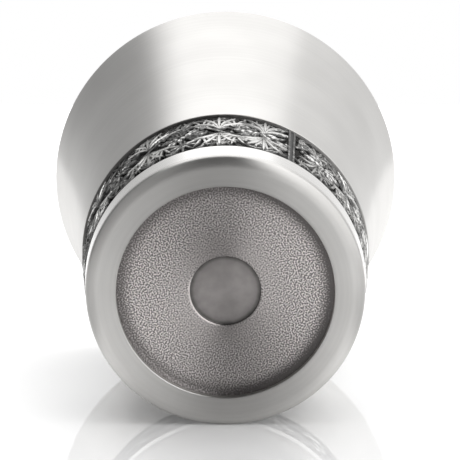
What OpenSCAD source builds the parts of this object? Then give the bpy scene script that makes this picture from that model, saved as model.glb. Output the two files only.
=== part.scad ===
// Flared pewter tumbler: a turned cup wall soldered into a cast foot, with a cast relief strip
// bent round the joint and a textured disc closing the underside of the foot.
// Millimetres. +Z is up, and the origin is the centre of the foot's face.

/* [Cup] */
// Overall height, from the foot's face to the lip
height = 95; // [84:1:120]
// Outside diameter at the lip
rim_d = 80; // [72:1:92]
// How far the flared side bows in from a straight cone
flare_sag = 1.6; // [0.8:0.1:2.4]
// Thickness of the wall at the lip
lip_t = 1.5; // [1.2:0.1:2]
// Thickness of the wall behind the relief band
skirt_t = 1.2; // [1:0.1:2]

/* [Foot] */
// Outside diameter of the foot at its face
foot_d = 50.8; // [48:0.2:56]
// Height of the plain foot below the band
foot_h = 7; // [6:0.25:9]
// Rounding of the foot's outer edge
foot_edge_r = 0.8; // [0.4:0.1:1.4]
// Gentle roll of the foot's face towards that edge
face_roll_r = 4.5; // [3:0.25:6]
// Steepness that the roll reaches at the edge
face_roll_angle = 30; // [15:1:40]
// Depth of the socket in the foot that takes the cup wall
socket_depth = 2; // [1.2:0.1:2.4]
// Thickness of the drinking floor
floor_t = 2.2; // [1.6:0.1:3.2]
// Fillet between the drinking floor and the wall
floor_fillet_r = 4; // [2.5:0.25:5.5]

/* [Underside] */
// Diameter of the recess in the foot's face
recess_d = 39.8; // [34:0.2:41]
// Depth of the recess, down to the textured disc
recess_depth = 2; // [1.2:0.1:3]
// Rounding of the recess's edge
recess_edge_r = 0.4; // [0.2:0.05:0.8]
// Thickness of the textured disc
disc_t = 1.2; // [1:0.1:2]
// Diameter of the plain roundel sunk in the disc
roundel_d = 13; // [8:0.5:18]
// Depth of the roundel
roundel_depth = 0.5; // [0.2:0.05:0.7]
// Rounding of the roundel's edge
roundel_edge_r = 0.2; // [0.05:0.05:0.2]

/* [Relief band] */
// Height of the band
band_h = 19.7; // [17:0.1:24]
// Thickness of the strip under the relief
strip_t = 0.7; // [0.5:0.05:1]
// Height of the relief, which ends flush with the cup
relief_h = 0.6; // [0.4:0.05:0.8]
// Plain margin along the top and bottom of the relief
margin = 1.3; // [0.8:0.1:2]
// Scroll motifs round the band, an even number
motif_count = 12; // [8:2:12]
// Petals on each rosette
petal_count = 8; // [5:1:10]
// Diameter of a rosette
rosette_d = 9; // [7:0.25:9.5]
// Width of the stem that arches over a rosette
stem_w = 0.8; // [0.5:0.1:0.9]
// Gap between a rosette and its stem
stem_gap = 0.3; // [0.2:0.05:0.4]
// Length of a leaf
leaf_l = 4.5; // [3.5:0.1:4.8]
// Width of a leaf
leaf_w = 2; // [1.4:0.1:2.4]
// Gap between the roots of a pair of leaves
leaf_gap = 1; // [0.4:0.1:1.4]
// Width of the plain ends of the strip, beside the seam
end_w = 0.8; // [0.5:0.1:1.5]
// Width of the gap between the strip's ends
seam_w = 0.6; // [0.4:0.05:1]
// Direction of the seam, from +X towards +Y
seam_angle = -62.5; // [-180:0.5:180]

/* [Solder] */
// Thickness of the solder in every joint
solder_t = 0.12; // [0.08:0.01:0.2]
// Clearance between the band's back and the solder behind it
film_gap = 0.04; // [0.02:0.01:0.08]
// Fillet of solder round the textured disc
solder_fillet_r = 0.8; // [0.4:0.1:1.1]
// How far the solder in the seam lies below the cup's surface
seam_sink = 0.35; // [0.15:0.05:0.5]

/* [Hidden] */
$fn = 96;
// Sides of the large circles that shape the flare, and of one turn of a revolved piece
flare_fn = 1440;
turn_fn = 180;
// How much wider than its share of the ring a petal is
petal_overlap = 1.15;
// Overlap that makes a cut or a union clean
cut = 1;
join = 0.2;

rim_r = rim_d / 2;
foot_r = foot_d / 2;
recess_r = recess_d / 2;
roundel_r = roundel_d / 2;
band_top = foot_h + band_h;
// Depth below the cup's surface at which the band's seat lies
seat_depth = relief_h + strip_t + film_gap + solder_t;

// Heights of the faces stacked in the foot
disc_top = recess_depth + disc_t;
floor_under = disc_top + solder_t;
floor_z = floor_under + floor_t;
dish_top = floor_z + floor_fillet_r;
socket_z = foot_h - socket_depth;

// The flared side is an arc through the foot's edge and the rim, centred far outside the cup.
lip_r = lip_t / 2;
rim_z = height - lip_r;
flare_chord = norm([rim_r - foot_r, rim_z]);
flare_r = pow(flare_chord, 2) / (8 * flare_sag) + flare_sag / 2;
flare_out = [rim_z, foot_r - rim_r] / flare_chord;
flare_c = [foot_r + rim_r, rim_z] / 2 + (flare_r - flare_sag) * flare_out;

// Radius of the surface that lies depth below the cup's outside, at height z
function skin_r(z, depth = 0) = flare_c.x - sqrt(pow(flare_r + depth, 2) - pow(z - flare_c.y, 2));

// The band is a flat strip bent round the cup, so its faces are cones that meet the flare at both edges.
band_slope = (skin_r(band_top) - skin_r(foot_h)) / band_h;
function band_r(z, depth = 0) = skin_r(foot_h) + band_slope * (z - foot_h) - depth;

// The lip is a full round between the two faces of the wall.
lip_c = [skin_r(rim_z, lip_r), rim_z];
lip_in = (lip_c - flare_c) / norm(lip_c - flare_c);

// The inside is an arc of the flare's radius, from the lip to the rim of the drinking floor.
skirt_r = band_r(dish_top, seat_depth + skirt_t);
inside_top = lip_c + lip_r * lip_in;
inside_run = inside_top - [skirt_r, dish_top];
inside_out = [inside_run.y, -inside_run.x] / norm(inside_run);
inside_c = inside_top - inside_run / 2 + sqrt(pow(flare_r, 2) - inside_run * inside_run / 4) * inside_out;

// The relief is laid out on the band's middle, one motif to each cell.
band_mid = foot_h + band_h / 2;
cell_angle = 360 / motif_count;
cell_w = 2 * PI * skin_r(band_mid) / motif_count;
// First motif's direction, so that the seam falls between two motifs
first_angle = seam_angle + cell_angle / 2;

// Region outside the cup's surface, grown by depth
module beyond_skin(depth = 0) {
    translate(flare_c) circle(flare_r + depth, $fn = flare_fn);
}

// Region on the axis side of the surface that lies depth below the cup's outside, up to z_high
module within_skin(depth, z_high) {
    difference() {
        square([rim_r + cut, z_high]);
        beyond_skin(depth);
    }
}

// Layer of the band between two depths below its outside, over a range of heights
module band_layer(outer_depth, inner_depth, z_low, z_high) {
    polygon([
        [band_r(z_low, outer_depth), z_low], [band_r(z_high, outer_depth), z_high],
        [band_r(z_high, inner_depth), z_high], [band_r(z_low, inner_depth), z_low]
    ]);
}

// What a rounding of radius r about c takes off a corner that points at the axis and down
module edge_cut(c, r) {
    difference() {
        translate(c - [r + join, r + join]) square(r + join);
        translate(c) circle(r);
    }
}

module revolve() {
    rotate_extrude($fn = turn_fn) children();
}

// Outline of the cup wall between its inside arc and its outside, cut square at the lip
module wall_section(z_low) {
    lip_out = lip_c - (lip_r + cut) * lip_in;
    lip_end = inside_top + cut * lip_in;
    intersection() {
        polygon([lip_out, lip_end, [0, dish_top], [skirt_r, dish_top], [skirt_r, z_low], [rim_r + cut, z_low]]);
        difference() {
            union() {
                translate(inside_c) circle(flare_r, $fn = flare_fn);
                translate([skirt_r, z_low]) square([rim_r, dish_top - z_low]);
            }
            beyond_skin();
        }
    }
}

module cup_wall() {
    color("silver") revolve() {
        difference() {
            wall_section(socket_z + solder_t);
            band_layer(-cut, seat_depth, socket_z, band_top);
        }
        translate(lip_c) circle(lip_r);
    }
}

// What the rounded outer edge takes off the foot: its face rolls gently outwards, then turns tightly up the side.
module foot_edge_cut() {
    roll_dir = [sin(face_roll_angle), -cos(face_roll_angle)];
    edge_z = face_roll_r + (face_roll_r - foot_edge_r) * roll_dir.y;
    edge_c = [skin_r(edge_z, foot_edge_r), edge_z];
    roll_c = edge_c - (face_roll_r - foot_edge_r) * roll_dir;
    out = (flare_c - edge_c) / norm(flare_c - edge_c);
    difference() {
        translate([roll_c.x, -cut]) square([foot_r + cut - roll_c.x, edge_z + cut]);
        translate(roll_c) circle(face_roll_r);
    }
    difference() {
        polygon([
            edge_c, edge_c + (edge_z + 2 * cut) * roll_dir,
            [foot_r + cut, -cut], edge_c + (foot_edge_r + 2 * cut) * out
        ]);
        translate(edge_c) circle(foot_edge_r);
    }
}

module foot() {
    spigot_r = skirt_r - solder_t;
    color("silver") revolve() difference() {
        union() {
            within_skin(0, foot_h);
            square([spigot_r, dish_top]);
        }
        foot_edge_cut();
        // Recess and its rounded edge
        translate([-cut, -cut]) square([recess_r + cut, floor_under + cut]);
        edge_cut([recess_r + recess_edge_r, recess_edge_r], recess_edge_r);
        // Socket for the cup wall
        polygon([
            [spigot_r, socket_z], [band_r(socket_z, seat_depth - solder_t), socket_z],
            [band_r(dish_top, seat_depth - solder_t), dish_top], [spigot_r, dish_top]
        ]);
        // Drinking floor, dished up to the wall
        hollow_r = spigot_r - floor_fillet_r - (skirt_t - solder_t) / 2;
        translate([-cut, floor_z]) square([hollow_r + cut, floor_fillet_r + cut]);
        translate([hollow_r, dish_top]) circle(floor_fillet_r);
    }
}

module base_disc() {
    color("gray") revolve() difference() {
        translate([0, recess_depth]) square([recess_r - solder_t, disc_t]);
        translate([-cut, recess_depth - cut]) square([roundel_r + cut, roundel_depth + cut]);
        edge_cut([roundel_r + roundel_edge_r, recess_depth + roundel_edge_r], roundel_edge_r);
    }
}

// Pointed leaf lying along +X, with its foot at the origin
module leaf_outline(l, w) {
    arc_r = (l * l + w * w) / (4 * w);
    intersection() {
        translate([l / 2, arc_r - w / 2]) circle(arc_r);
        translate([l / 2, w / 2 - arc_r]) circle(arc_r);
    }
}

// Round petals that meet about a heart
module rosette_outline() {
    petal_r = rosette_d / 2 * sin(180 / petal_count) * petal_overlap / (1 + sin(180 / petal_count) * petal_overlap);
    petal_at = rosette_d / 2 - petal_r;
    for (i = [0 : petal_count - 1]) rotate(i * 360 / petal_count) translate([petal_at, 0]) circle(petal_r);
    circle(petal_at);
}

// Half circle of stem that arches over a rosette
module stem_outline() {
    stem_mid = rosette_d / 2 + stem_gap + stem_w / 2;
    intersection() {
        difference() {
            circle(stem_mid + stem_w / 2);
            circle(stem_mid - stem_w / 2);
        }
        translate([-cell_w, 0]) square([2 * cell_w, band_h]);
    }
}

// Pairs of leaves above the stem and below the rosette, leaning away from the middle of the cell
module leaves_outline() {
    root_y = band_h / 2 - margin - leaf_w / 2;
    low_lean = 68;
    high_lean = 100;
    for (side = [-1, 1]) {
        translate([side * leaf_gap / 2, -root_y]) rotate(90 - side * low_lean) leaf_outline(leaf_l, leaf_w);
        translate([side * leaf_gap, root_y]) rotate(90 - side * high_lean) leaf_outline(leaf_l, leaf_w);
    }
}

module motif_outline() {
    rosette_outline();
    stem_outline();
    leaves_outline();
}

// Slab along the seam's direction, of width w, over the band's height
module seam_slab(w) {
    rotate(seam_angle) translate([0, -w / 2, foot_h - cut]) cube([rim_r, w, band_h + 2 * cut]);
}

// Every motif of the band, pushed out along its cell's direction and turned over from its neighbours
module motifs() {
    for (i = [0 : motif_count - 1])
        rotate(first_angle + i * cell_angle) translate([band_r(foot_h, seat_depth) - cut, 0, band_mid])
            rotate([90, 0, 90]) mirror([0, i % 2, 0])
                linear_extrude(band_slope * band_h + seat_depth + 2 * cut) motif_outline();
}

module relief_band() {
    color("dimgray") difference() {
        union() {
            revolve() band_layer(relief_h, relief_h + strip_t, foot_h, band_top - solder_t);
            intersection() {
                revolve() band_layer(0, relief_h + join, foot_h, band_top - solder_t);
                union() {
                    motifs();
                    seam_slab(seam_w + 2 * end_w);
                }
            }
        }
        seam_slab(seam_w);
    }
}

// Film round the three sides of the cup wall's foot in its socket
module wall_solder() {
    spigot_r = skirt_r - solder_t;
    film_z = socket_z + solder_t;
    color("lightgray") revolve() polygon([
        [spigot_r, socket_z], [band_r(socket_z, seat_depth - solder_t), socket_z],
        [band_r(foot_h, seat_depth - solder_t), foot_h], [band_r(foot_h, seat_depth), foot_h],
        [band_r(film_z, seat_depth), film_z], [skirt_r, film_z], [skirt_r, dish_top], [spigot_r, dish_top]
    ]);
}

module band_solder() {
    color("lightgray") revolve() {
        band_layer(seat_depth - solder_t, seat_depth, foot_h, band_top);
        band_layer(relief_h, seat_depth, band_top - solder_t, band_top);
    }
}

module seam_solder() {
    color("lightgray") intersection() {
        revolve() band_layer(seam_sink, seat_depth - solder_t, foot_h, band_top - solder_t);
        seam_slab(seam_w);
    }
}

module disc_solder() {
    disc_r = recess_r - solder_t;
    color("lightgray") revolve() {
        translate([0, disc_top]) square([recess_r, solder_t]);
        translate([disc_r, recess_depth]) square([solder_t, disc_t + solder_t]);
        difference() {
            translate([recess_r - solder_fillet_r, recess_depth - solder_fillet_r]) square(solder_fillet_r);
            translate([recess_r - solder_fillet_r, recess_depth - solder_fillet_r]) circle(solder_fillet_r);
        }
    }
}

cup_wall();
foot();
relief_band();
base_disc();
wall_solder();
band_solder();
seam_solder();
disc_solder();
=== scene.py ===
"""Looks of a flared pewter tumbler with a dark relief band, lying on its side in a white studio.

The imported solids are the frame. Each turned piece is remade here with a finer surface in the same
place, the relief band gets its modelled foliage, and every piece gets its finish.
"""

import logging
import math
import random
from collections.abc import Callable, Sequence
from dataclasses import dataclass, field
from enum import Enum

import bpy
from mathutils import Matrix, Vector


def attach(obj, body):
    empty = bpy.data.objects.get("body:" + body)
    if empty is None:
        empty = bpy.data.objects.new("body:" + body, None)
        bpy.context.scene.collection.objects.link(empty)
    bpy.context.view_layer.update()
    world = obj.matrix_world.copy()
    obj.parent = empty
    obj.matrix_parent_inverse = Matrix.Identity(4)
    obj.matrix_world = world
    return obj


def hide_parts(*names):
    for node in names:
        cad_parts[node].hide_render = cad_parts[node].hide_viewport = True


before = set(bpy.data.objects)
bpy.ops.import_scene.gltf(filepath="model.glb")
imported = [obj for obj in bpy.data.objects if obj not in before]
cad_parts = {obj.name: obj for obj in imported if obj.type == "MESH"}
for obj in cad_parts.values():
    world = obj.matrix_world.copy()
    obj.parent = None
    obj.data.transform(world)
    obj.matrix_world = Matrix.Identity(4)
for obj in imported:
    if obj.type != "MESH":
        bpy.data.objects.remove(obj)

LOG = logging.getLogger("tumbler")
MM = 0.001
BODY = "root"

# Vertices closer than this are merged.
MERGE = 0.001 * MM

# Edges of the relief that are sharper than this, in degrees, stay sharp.
LEAF_CREASE = 50.0
STEM_CREASE = 60.0

# The Mix node's sockets for two colours and their mixture.
MIX_A = 6
MIX_B = 7
MIX_RESULT = 2

# A quarter turn, which draws the sheen out across the turning grooves.
ACROSS = 0.25

Point = tuple[float, float]
Triple = tuple[float, float, float]
Tone = tuple[float, float, float, float]


@dataclass(frozen=True)
class TumblerSizes:
    """Sizes that the pieces share, in metres. They are those of the solids."""

    height: float = 95 * MM
    rim_radius: float = 40 * MM
    flare_sag: float = 1.6 * MM
    lip_radius: float = 0.75 * MM
    skirt_wall: float = 1.2 * MM
    foot_radius: float = 25.4 * MM
    foot_height: float = 7 * MM
    foot_edge: float = 0.8 * MM
    face_roll: float = 4.5 * MM
    face_roll_angle: float = 30.0
    socket_depth: float = 2 * MM
    floor_thickness: float = 2.2 * MM
    floor_fillet: float = 4 * MM
    recess_radius: float = 19.9 * MM
    recess_depth: float = 2 * MM
    recess_edge: float = 0.2 * MM
    disc_thickness: float = 1.2 * MM
    roundel_radius: float = 6.5 * MM
    roundel_depth: float = 0.5 * MM
    roundel_edge: float = 0.2 * MM
    band_height: float = 19.7 * MM
    strip_thickness: float = 0.7 * MM
    relief_height: float = 0.6 * MM
    motif_count: int = 12
    seam_width: float = 0.6 * MM
    seam_angle: float = math.radians(-62.5)
    solder: float = 0.12 * MM
    film_gap: float = 0.04 * MM
    solder_fillet: float = 0.8 * MM

    @property
    def band_top(self) -> float:
        """Height of the band's upper edge."""
        return self.foot_height + self.band_height

    @property
    def seat_depth(self) -> float:
        """Depth of the band's seat below the cup's outside."""
        return self.relief_height + self.strip_thickness + self.film_gap + self.solder

    @property
    def disc_top(self) -> float:
        """Height of the textured disc's hidden face."""
        return self.recess_depth + self.disc_thickness

    @property
    def floor_under(self) -> float:
        """Height of the underside of the drinking floor."""
        return self.disc_top + self.solder

    @property
    def floor_level(self) -> float:
        """Height of the drinking floor."""
        return self.floor_under + self.floor_thickness

    @property
    def dish_top(self) -> float:
        """Height at which the drinking floor's fillet ends."""
        return self.floor_level + self.floor_fillet

    @property
    def socket_level(self) -> float:
        """Height of the bottom of the foot's socket."""
        return self.foot_height - self.socket_depth

    @property
    def rim_level(self) -> float:
        """Height of the centre of the lip's rounding."""
        return self.height - self.lip_radius

    @property
    def flare(self) -> tuple[float, Vector]:
        """Radius and centre of the arc that shapes the flared side, centred outside the cup."""
        chord = math.hypot(self.rim_radius - self.foot_radius, self.rim_level)
        radius = chord**2 / (8 * self.flare_sag) + self.flare_sag / 2
        out = Vector((self.rim_level, self.foot_radius - self.rim_radius)) / chord
        middle = Vector((self.foot_radius + self.rim_radius, self.rim_level)) / 2
        return radius, middle + (radius - self.flare_sag) * out

    def skin(self, z: float, depth: float = 0.0) -> float:
        """Finds the radius of a surface parallel to the cup's outside.

        Args:
            z: Height of the point.
            depth: How far the surface lies below the outside.

        Returns:
            The radius at that height.
        """
        radius, centre = self.flare
        return centre.x - math.sqrt((radius + depth) ** 2 - (z - centre.y) ** 2)

    def band(self, z: float, depth: float = 0.0) -> float:
        """Finds the radius of one of the band's conical surfaces.

        Args:
            z: Height of the point.
            depth: How far the surface lies below the band's outside.

        Returns:
            The radius at that height.
        """
        low = self.skin(self.foot_height)
        return low + self.band_slope * (z - self.foot_height) - depth

    @property
    def foot_edge_centre(self) -> Vector:
        """Centre of the tight rounding at the foot's outer edge."""
        drop = (self.face_roll - self.foot_edge) * math.cos(math.radians(self.face_roll_angle))
        z = self.face_roll - drop
        return Vector((self.skin(z, self.foot_edge), z))

    @property
    def band_slope(self) -> float:
        """Radius that the band gains for each metre of height."""
        return (self.skin(self.band_top) - self.skin(self.foot_height)) / self.band_height

    @property
    def skirt_radius(self) -> float:
        """Inside radius of the wall where it meets the drinking floor."""
        return self.band(self.dish_top, self.seat_depth + self.skirt_wall)

    @property
    def spigot_radius(self) -> float:
        """Outside radius of the ring on the foot that carries the wall."""
        return self.skirt_radius - self.solder

    @property
    def lip(self) -> tuple[Vector, Vector]:
        """Centre of the lip's rounding, and the direction from it into the cup."""
        centre = Vector((self.skin(self.rim_level, self.lip_radius), self.rim_level))
        return centre, (centre - self.flare[1]).normalized()

    def inside(self, z: float) -> float:
        """Finds the radius of the cup's inside at a height above the drinking floor.

        Args:
            z: Height of the point.

        Returns:
            The inside radius.
        """
        radius = self.flare[0]
        lip_centre, inwards = self.lip
        top = lip_centre + self.lip_radius * inwards
        run = top - Vector((self.skirt_radius, self.dish_top))
        out = Vector((run.y, -run.x)).normalized()
        centre = top - run / 2 + math.sqrt(radius**2 - run.length_squared / 4) * out
        return centre.x - math.sqrt(radius**2 - (z - centre.y) ** 2)


def spread(start: float, end: float, count: int) -> list[float]:
    """Spaces numbers evenly, both ends included.

    Args:
        start: First number.
        end: Last number.
        count: How many steps lie between them.

    Returns:
        The count + 1 numbers.
    """
    return [start + (end - start) * i / count for i in range(count + 1)]


def round_off(
    centre: Sequence[float], radius: float, start: float, end: float, count: int
) -> list[Point]:
    """Lists points on an arc in the plane of an outline.

    Args:
        centre: Centre of the arc, as radius and height.
        radius: Radius of the arc.
        start: First angle in degrees, from the outward direction towards up.
        end: Last angle in degrees.
        count: How many steps the arc has.

    Returns:
        The points along the arc.
    """
    turns = [math.radians(a) for a in spread(start, end, count)]
    return [(centre[0] + radius * math.cos(a), centre[1] + radius * math.sin(a)) for a in turns]


class Bench:
    """The modelling steps that every piece goes through, done with Blender's operators."""

    @staticmethod
    def clear() -> None:
        """Leaves edit mode and deselects everything."""
        if bpy.context.mode != "OBJECT":
            bpy.ops.object.mode_set(mode="OBJECT")
        bpy.ops.object.select_all(action="DESELECT")

    @staticmethod
    def take(*pieces: bpy.types.Object) -> None:
        """Selects these pieces alone and makes the first one active.

        Args:
            pieces: The pieces to work on.
        """
        Bench.clear()
        for piece in pieces:
            piece.select_set(True)
        bpy.context.view_layer.objects.active = pieces[0]

    @staticmethod
    def edit(piece: bpy.types.Object, pick: Callable[[Vector], bool] | None = None) -> None:
        """Opens a piece in edit mode with some of its vertices selected.

        Args:
            piece: The piece to open.
            pick: Test of a vertex's place; without it everything is selected.
        """
        Bench.take(piece)
        bpy.ops.object.mode_set(mode="EDIT")
        bpy.ops.mesh.select_mode(type="VERT")
        bpy.ops.mesh.select_all(action="SELECT" if pick is None else "DESELECT")
        if pick is not None:
            bpy.ops.object.mode_set(mode="OBJECT")
            for vertex in piece.data.vertices:
                vertex.select = pick(vertex.co)
            bpy.ops.object.mode_set(mode="EDIT")

    @staticmethod
    def close(piece: bpy.types.Object, smooth_angle: float = 32.0) -> bpy.types.Object:
        """Merges a piece's seams, turns its faces outwards and smooths it.

        Args:
            piece: The piece to finish.
            smooth_angle: Edges sharper than this many degrees stay sharp.

        Returns:
            The same piece.
        """
        Bench.edit(piece)
        bpy.ops.mesh.remove_doubles(threshold=MERGE)
        bpy.ops.mesh.normals_make_consistent(inside=False)
        Bench.take(piece)
        bpy.ops.object.shade_smooth_by_angle(angle=math.radians(smooth_angle))
        return piece

    @staticmethod
    def name(piece: bpy.types.Object, name: str) -> bpy.types.Object:
        """Names a piece and its mesh."""
        piece.name = piece.data.name = name
        return piece

    @staticmethod
    def settle(*pieces: bpy.types.Object) -> bpy.types.Object:
        """Puts the places of pieces into their meshes, so that the objects sit at the origin.

        Args:
            pieces: The pieces, which stay selected.

        Returns:
            The first of them.
        """
        Bench.take(*pieces)
        bpy.ops.object.transform_apply(location=True, rotation=True, scale=True)
        return pieces[0]

    @staticmethod
    def copy(piece: bpy.types.Object, place: Matrix) -> bpy.types.Object:
        """Copies a piece, mesh included, to another place.

        Args:
            piece: The piece to copy.
            place: How the copy is moved from the piece's own place.

        Returns:
            The copy.
        """
        twin = piece.copy()
        twin.data = piece.data.copy()
        twin.matrix_world = place @ piece.matrix_world
        bpy.context.collection.objects.link(twin)
        return twin

    @staticmethod
    def join(pieces: Sequence[bpy.types.Object], name: str) -> bpy.types.Object:
        """Joins pieces into one, with its place in its mesh.

        Args:
            pieces: The pieces to join; the first one takes in the others.
            name: Name of the joined piece.

        Returns:
            The joined piece.
        """
        joined = Bench.settle(*pieces)
        bpy.ops.object.join()
        return Bench.name(joined, name)

    @staticmethod
    def drop(*pieces: bpy.types.Object) -> None:
        """Removes pieces that only served as patterns."""
        for piece in pieces:
            bpy.data.objects.remove(piece, do_unlink=True)


@dataclass(frozen=True)
class Lathe:
    """Turns outlines about the tumbler's axis."""

    steps: int = 224
    least_steps: int = 3

    def _draw(self, outline: Sequence[Point]) -> bpy.types.Object:
        """Draws an outline as a chain of edges in the plane through the axis.

        Args:
            outline: Points as radius and height.

        Returns:
            The chain, open in edit mode with everything selected.
        """
        Bench.clear()
        bpy.ops.mesh.primitive_plane_add(size=MM)
        piece = bpy.context.active_object
        bpy.ops.object.mode_set(mode="EDIT")
        bpy.ops.mesh.select_all(action="SELECT")
        bpy.ops.mesh.merge(type="CENTER")
        bpy.ops.transform.translate(value=(outline[0][0], 0, outline[0][1]))
        for before, after in zip(outline, outline[1:]):
            step = (after[0] - before[0], 0, after[1] - before[1])
            bpy.ops.mesh.extrude_region_move(TRANSFORM_OT_translate={"value": step})
        bpy.ops.mesh.select_all(action="SELECT")
        return piece

    def turn(self, name: str, outline: Sequence[Point]) -> bpy.types.Object:
        """Turns an outline through a full circle.

        Args:
            name: Name of the piece.
            outline: Points as radius and height. Both ends lie on the axis, or it ends at its start.

        Returns:
            The closed piece.
        """
        piece = self._draw(outline)
        bpy.ops.mesh.remove_doubles(threshold=MERGE / 2)
        bpy.ops.mesh.spin(steps=self.steps, angle=math.tau, center=(0, 0, 0), axis=(0, 0, 1))
        return Bench.close(Bench.name(piece, name))

    def sweep(self, name: str, outline: Sequence[Point], start: float, angle: float) -> bpy.types.Object:
        """Turns a closed outline through part of a circle and closes its ends.

        Args:
            name: Name of the piece.
            outline: Points as radius and height, without the first one repeated.
            start: Direction of the first end, in radians from +X towards +Y.
            angle: Angle of the sweep towards +Y, in radians.

        Returns:
            The closed piece.
        """
        piece = self._draw(outline)
        bpy.ops.mesh.edge_face_add()
        steps = max(self.least_steps, round(self.steps * angle / math.tau))
        bpy.ops.mesh.spin(steps=steps, angle=angle, center=(0, 0, 0), axis=(0, 0, 1))
        Bench.clear()
        reach = max(math.atan2(v.co.y, v.co.x) for v in piece.data.vertices)
        turned_back = angle < math.pi and reach < angle / 2
        piece.rotation_euler.z = start + (angle if turned_back else 0.0)
        Bench.settle(piece)
        return Bench.close(Bench.name(piece, name))


class Wire:
    """A number inside a shader, with the arithmetic that the finishes use."""

    def __init__(self, shader: "Shader", socket: bpy.types.NodeSocket) -> None:
        """Wraps one output socket of a shader's node."""
        self.shader = shader
        self.socket = socket

    def _math(self, operation: str, *values: "Wire | float") -> "Wire":
        """Adds a Math node on these values."""
        node = self.shader.node("ShaderNodeMath", {"operation": operation}, dict(enumerate(values)))
        return Wire(self.shader, node.outputs[0])

    def __add__(self, other: "Wire | float") -> "Wire":
        """Adds."""
        return self._math("ADD", self, other)

    __radd__ = __add__

    def __mul__(self, other: "Wire | float") -> "Wire":
        """Multiplies."""
        return self._math("MULTIPLY", self, other)

    __rmul__ = __mul__

    def __sub__(self, other: "Wire | float") -> "Wire":
        """Subtracts."""
        return self._math("SUBTRACT", self, other)

    def __rsub__(self, other: float) -> "Wire":
        """Subtracts this value from a number."""
        return self._math("SUBTRACT", other, self)

    def __truediv__(self, other: "Wire | float") -> "Wire":
        """Divides."""
        return self._math("DIVIDE", self, other)

    def root(self) -> "Wire":
        """Takes the square root."""
        return self._math("SQRT", self)

    def angle_with(self, across: "Wire") -> "Wire":
        """Gives the angle of a direction whose two coordinates are across and this value."""
        return self._math("ARCTAN2", self, across)

    def at_least(self, low: float) -> "Wire":
        """Keeps the value from falling below a number."""
        return self._math("MAXIMUM", self, low)

    def ramp(self, low: float, high: float) -> "Wire":
        """Rises smoothly from 0 at low to 1 at high."""
        node = self.shader.node(
            "ShaderNodeMapRange",
            {"interpolation_type": "SMOOTHSTEP", "clamp": True},
            {"Value": self, "From Min": low, "From Max": high},
        )
        return Wire(self.shader, node.outputs["Result"])


Feed = Wire | float | tuple | bpy.types.NodeSocket


class Shader:
    """Builds one node tree, for a material or for the world."""

    def __init__(self, tree: bpy.types.NodeTree) -> None:
        """Starts with an empty tree."""
        self.tree = tree
        tree.nodes.clear()

    def node(
        self, kind: str, settings: dict | None = None, feeds: dict[str | int, Feed] | None = None
    ) -> bpy.types.Node:
        """Adds a node.

        Args:
            kind: Blender's type name of the node.
            settings: Properties, set before the sockets.
            feeds: Value or link for each named or numbered input socket.

        Returns:
            The node.
        """
        node = self.tree.nodes.new(kind)
        for key, value in (settings or {}).items():
            setattr(node, key, value)
        for key, value in (feeds or {}).items():
            socket = node.inputs[key]
            source = value.socket if isinstance(value, Wire) else value
            if isinstance(source, bpy.types.NodeSocket):
                self.tree.links.new(source, socket)
            else:
                socket.default_value = source
        return node

    def where(self, kind: str = "Object") -> bpy.types.NodeSocket:
        """Gives the place of the point on the piece, in metres, or another kind of coordinates."""
        return self.node("ShaderNodeTexCoord").outputs[kind]

    def place(self, kind: str = "Object") -> tuple[Wire, Wire, Wire]:
        """Gives the place of the point on the piece as three values."""
        split = self.node("ShaderNodeSeparateXYZ", feeds={0: self.where(kind)})
        return tuple(Wire(self, out) for out in split.outputs)

    def seen(self) -> Wire:
        """Gives 1 where the camera looks straight at the point, and 0 in light and reflections."""
        return Wire(self, self.node("ShaderNodeLightPath").outputs["Is Camera Ray"])

    def vector(self, x: Feed, y: Feed, z: Feed) -> bpy.types.NodeSocket:
        """Puts three values together as a vector."""
        return self.node("ShaderNodeCombineXYZ", feeds={0: x, 1: y, 2: z}).outputs[0]

    def noise(self, scale: float, detail: float, at: bpy.types.NodeSocket | None = None) -> Wire:
        """Adds a noise pattern between 0 and 1.

        Args:
            scale: Grains per metre.
            detail: How much finer noise is added.
            at: Where the pattern is read; without it, at the point on the piece.

        Returns:
            The pattern's value.
        """
        feeds = {"Vector": at or self.where(), "Scale": scale, "Detail": detail}
        return Wire(self, self.node("ShaderNodeTexNoise", feeds=feeds).outputs["Fac"])

    def ripples(self, scale: float, waves: float) -> Wire:
        """Adds short ripples of one spacing that run in all directions, between 0 and 1.

        Args:
            scale: Patches of ripples per metre.
            waves: Ripples in a patch.

        Returns:
            The pattern's value.
        """
        feeds = {"Vector": self.where(), "Scale": scale, "Frequency": waves, "Anisotropy": 0.0}
        return Wire(self, self.node("ShaderNodeTexGabor", feeds=feeds).outputs["Value"])

    def blend(self, factor: Wire, first: Feed, second: Feed) -> bpy.types.NodeSocket:
        """Mixes two colours by a factor."""
        feeds = {0: factor, MIX_A: first, MIX_B: second}
        return self.node("ShaderNodeMix", {"data_type": "RGBA"}, feeds).outputs[MIX_RESULT]

    def bump(self, height: Wire, distance: float, strength: float) -> bpy.types.NodeSocket:
        """Turns a height pattern into a surface normal.

        Args:
            height: The pattern.
            distance: Height in metres that a value of 1 stands for.
            strength: How strongly it shows.

        Returns:
            The normal.
        """
        feeds = {"Height": height, "Distance": distance, "Strength": strength}
        return self.node("ShaderNodeBump", feeds=feeds).outputs["Normal"]

    def skin(self, feeds: dict[str | int, Feed]) -> bpy.types.NodeSocket:
        """Adds a metal or plain surface with these sockets."""
        return self.node("ShaderNodeBsdfPrincipled", feeds=feeds).outputs[0]

    def divide(self, factor: Feed, first: Feed, second: Feed) -> bpy.types.NodeSocket:
        """Shows the first surface where the factor is 0 and the second where it is 1."""
        return self.node("ShaderNodeMixShader", feeds={0: factor, 1: first, 2: second}).outputs[0]

    def finish(self, skin: bpy.types.NodeSocket) -> None:
        """Ends a material's tree in a surface."""
        self.node("ShaderNodeOutputMaterial", feeds={"Surface": skin})


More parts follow.
